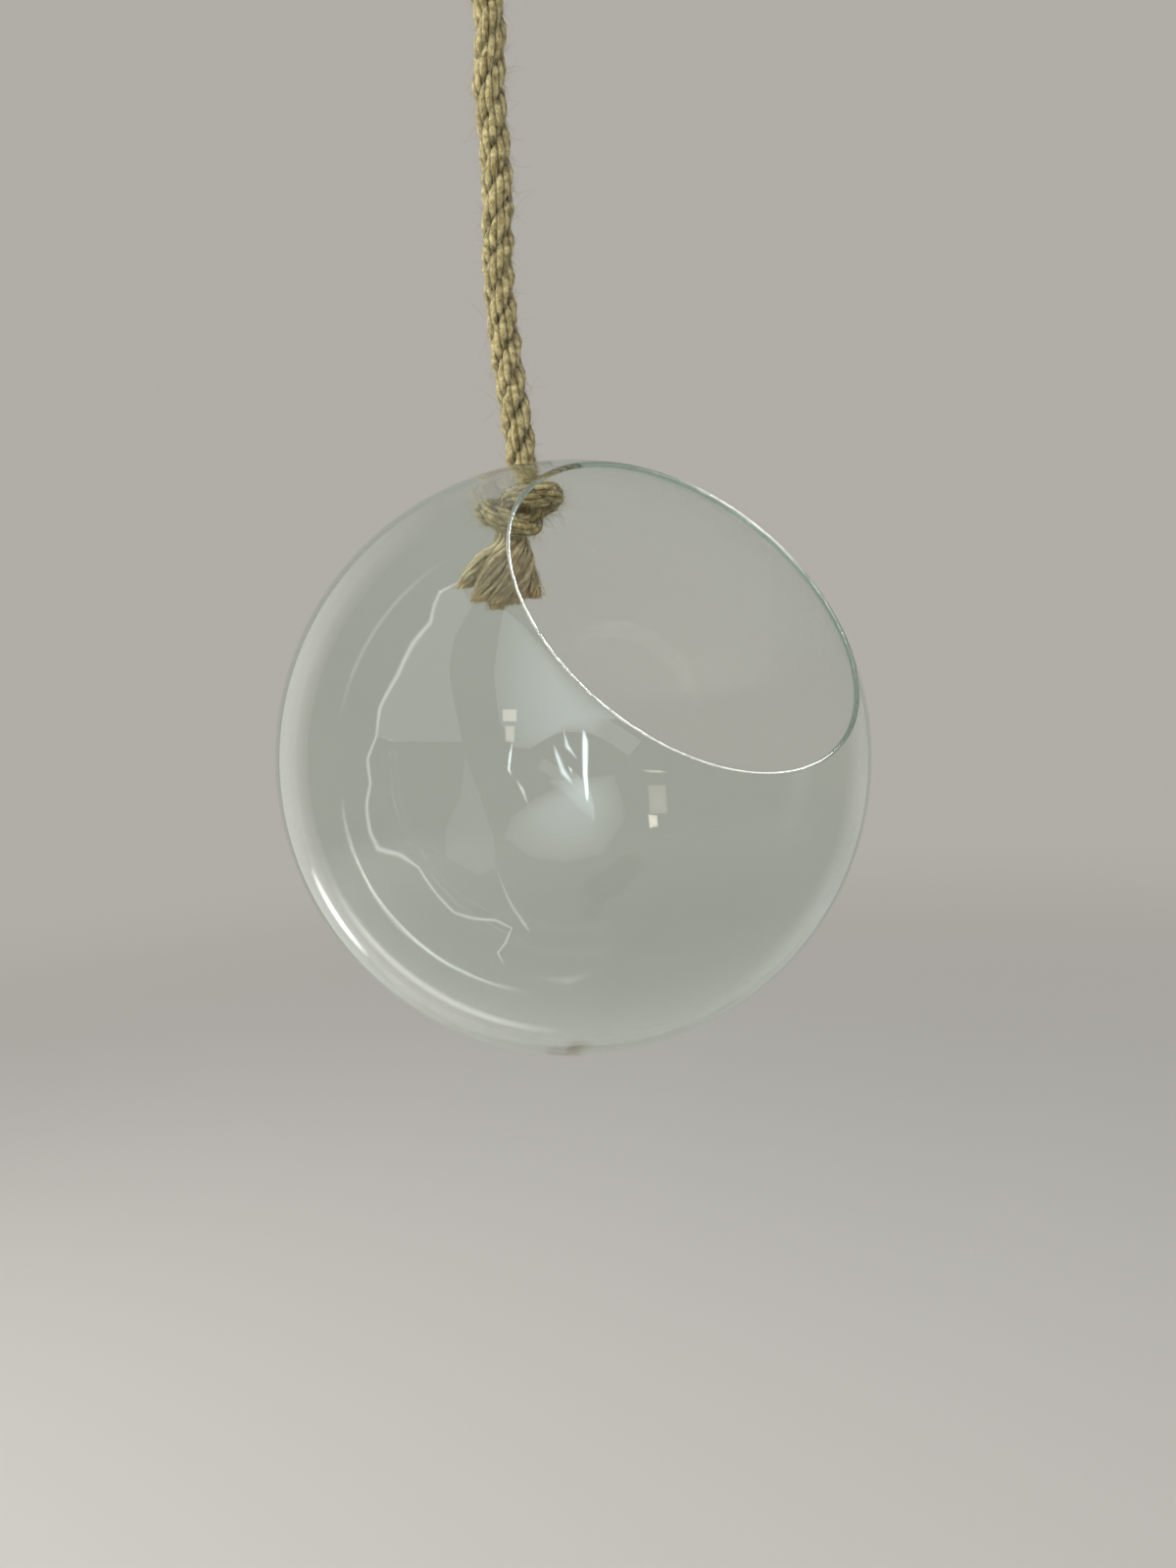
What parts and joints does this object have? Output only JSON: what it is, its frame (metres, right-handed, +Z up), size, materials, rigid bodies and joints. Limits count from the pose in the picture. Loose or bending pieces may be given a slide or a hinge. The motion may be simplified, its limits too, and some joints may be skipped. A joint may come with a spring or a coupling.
{
  "type": "hanging glass planter",
  "caption": "Blown glass globe with a slanted round mouth, hung from a laid jute rope that is knotted inside the globe and ends in a hanging loop.",
  "frame": {"origin": "the underside of the hanging loop's arc, where it bears on its hook", "axes": "+Z up as it hangs; the globe's mouth faces -Y and is tilted up; X is across"},
  "size_m": [0.2, 0.2, 0.468],
  "materials": {
    "glass": "clear, fire-polished",
    "jute": "laid jute rope"
  },
  "bodies": {
    "root": {"glass_globe": "glass", "rope": "jute", "stopper_knot": "jute", "rope_tail": "jute", "loop_knot": "jute", "hang_loop": "jute"}
  },
  "joints": []
}
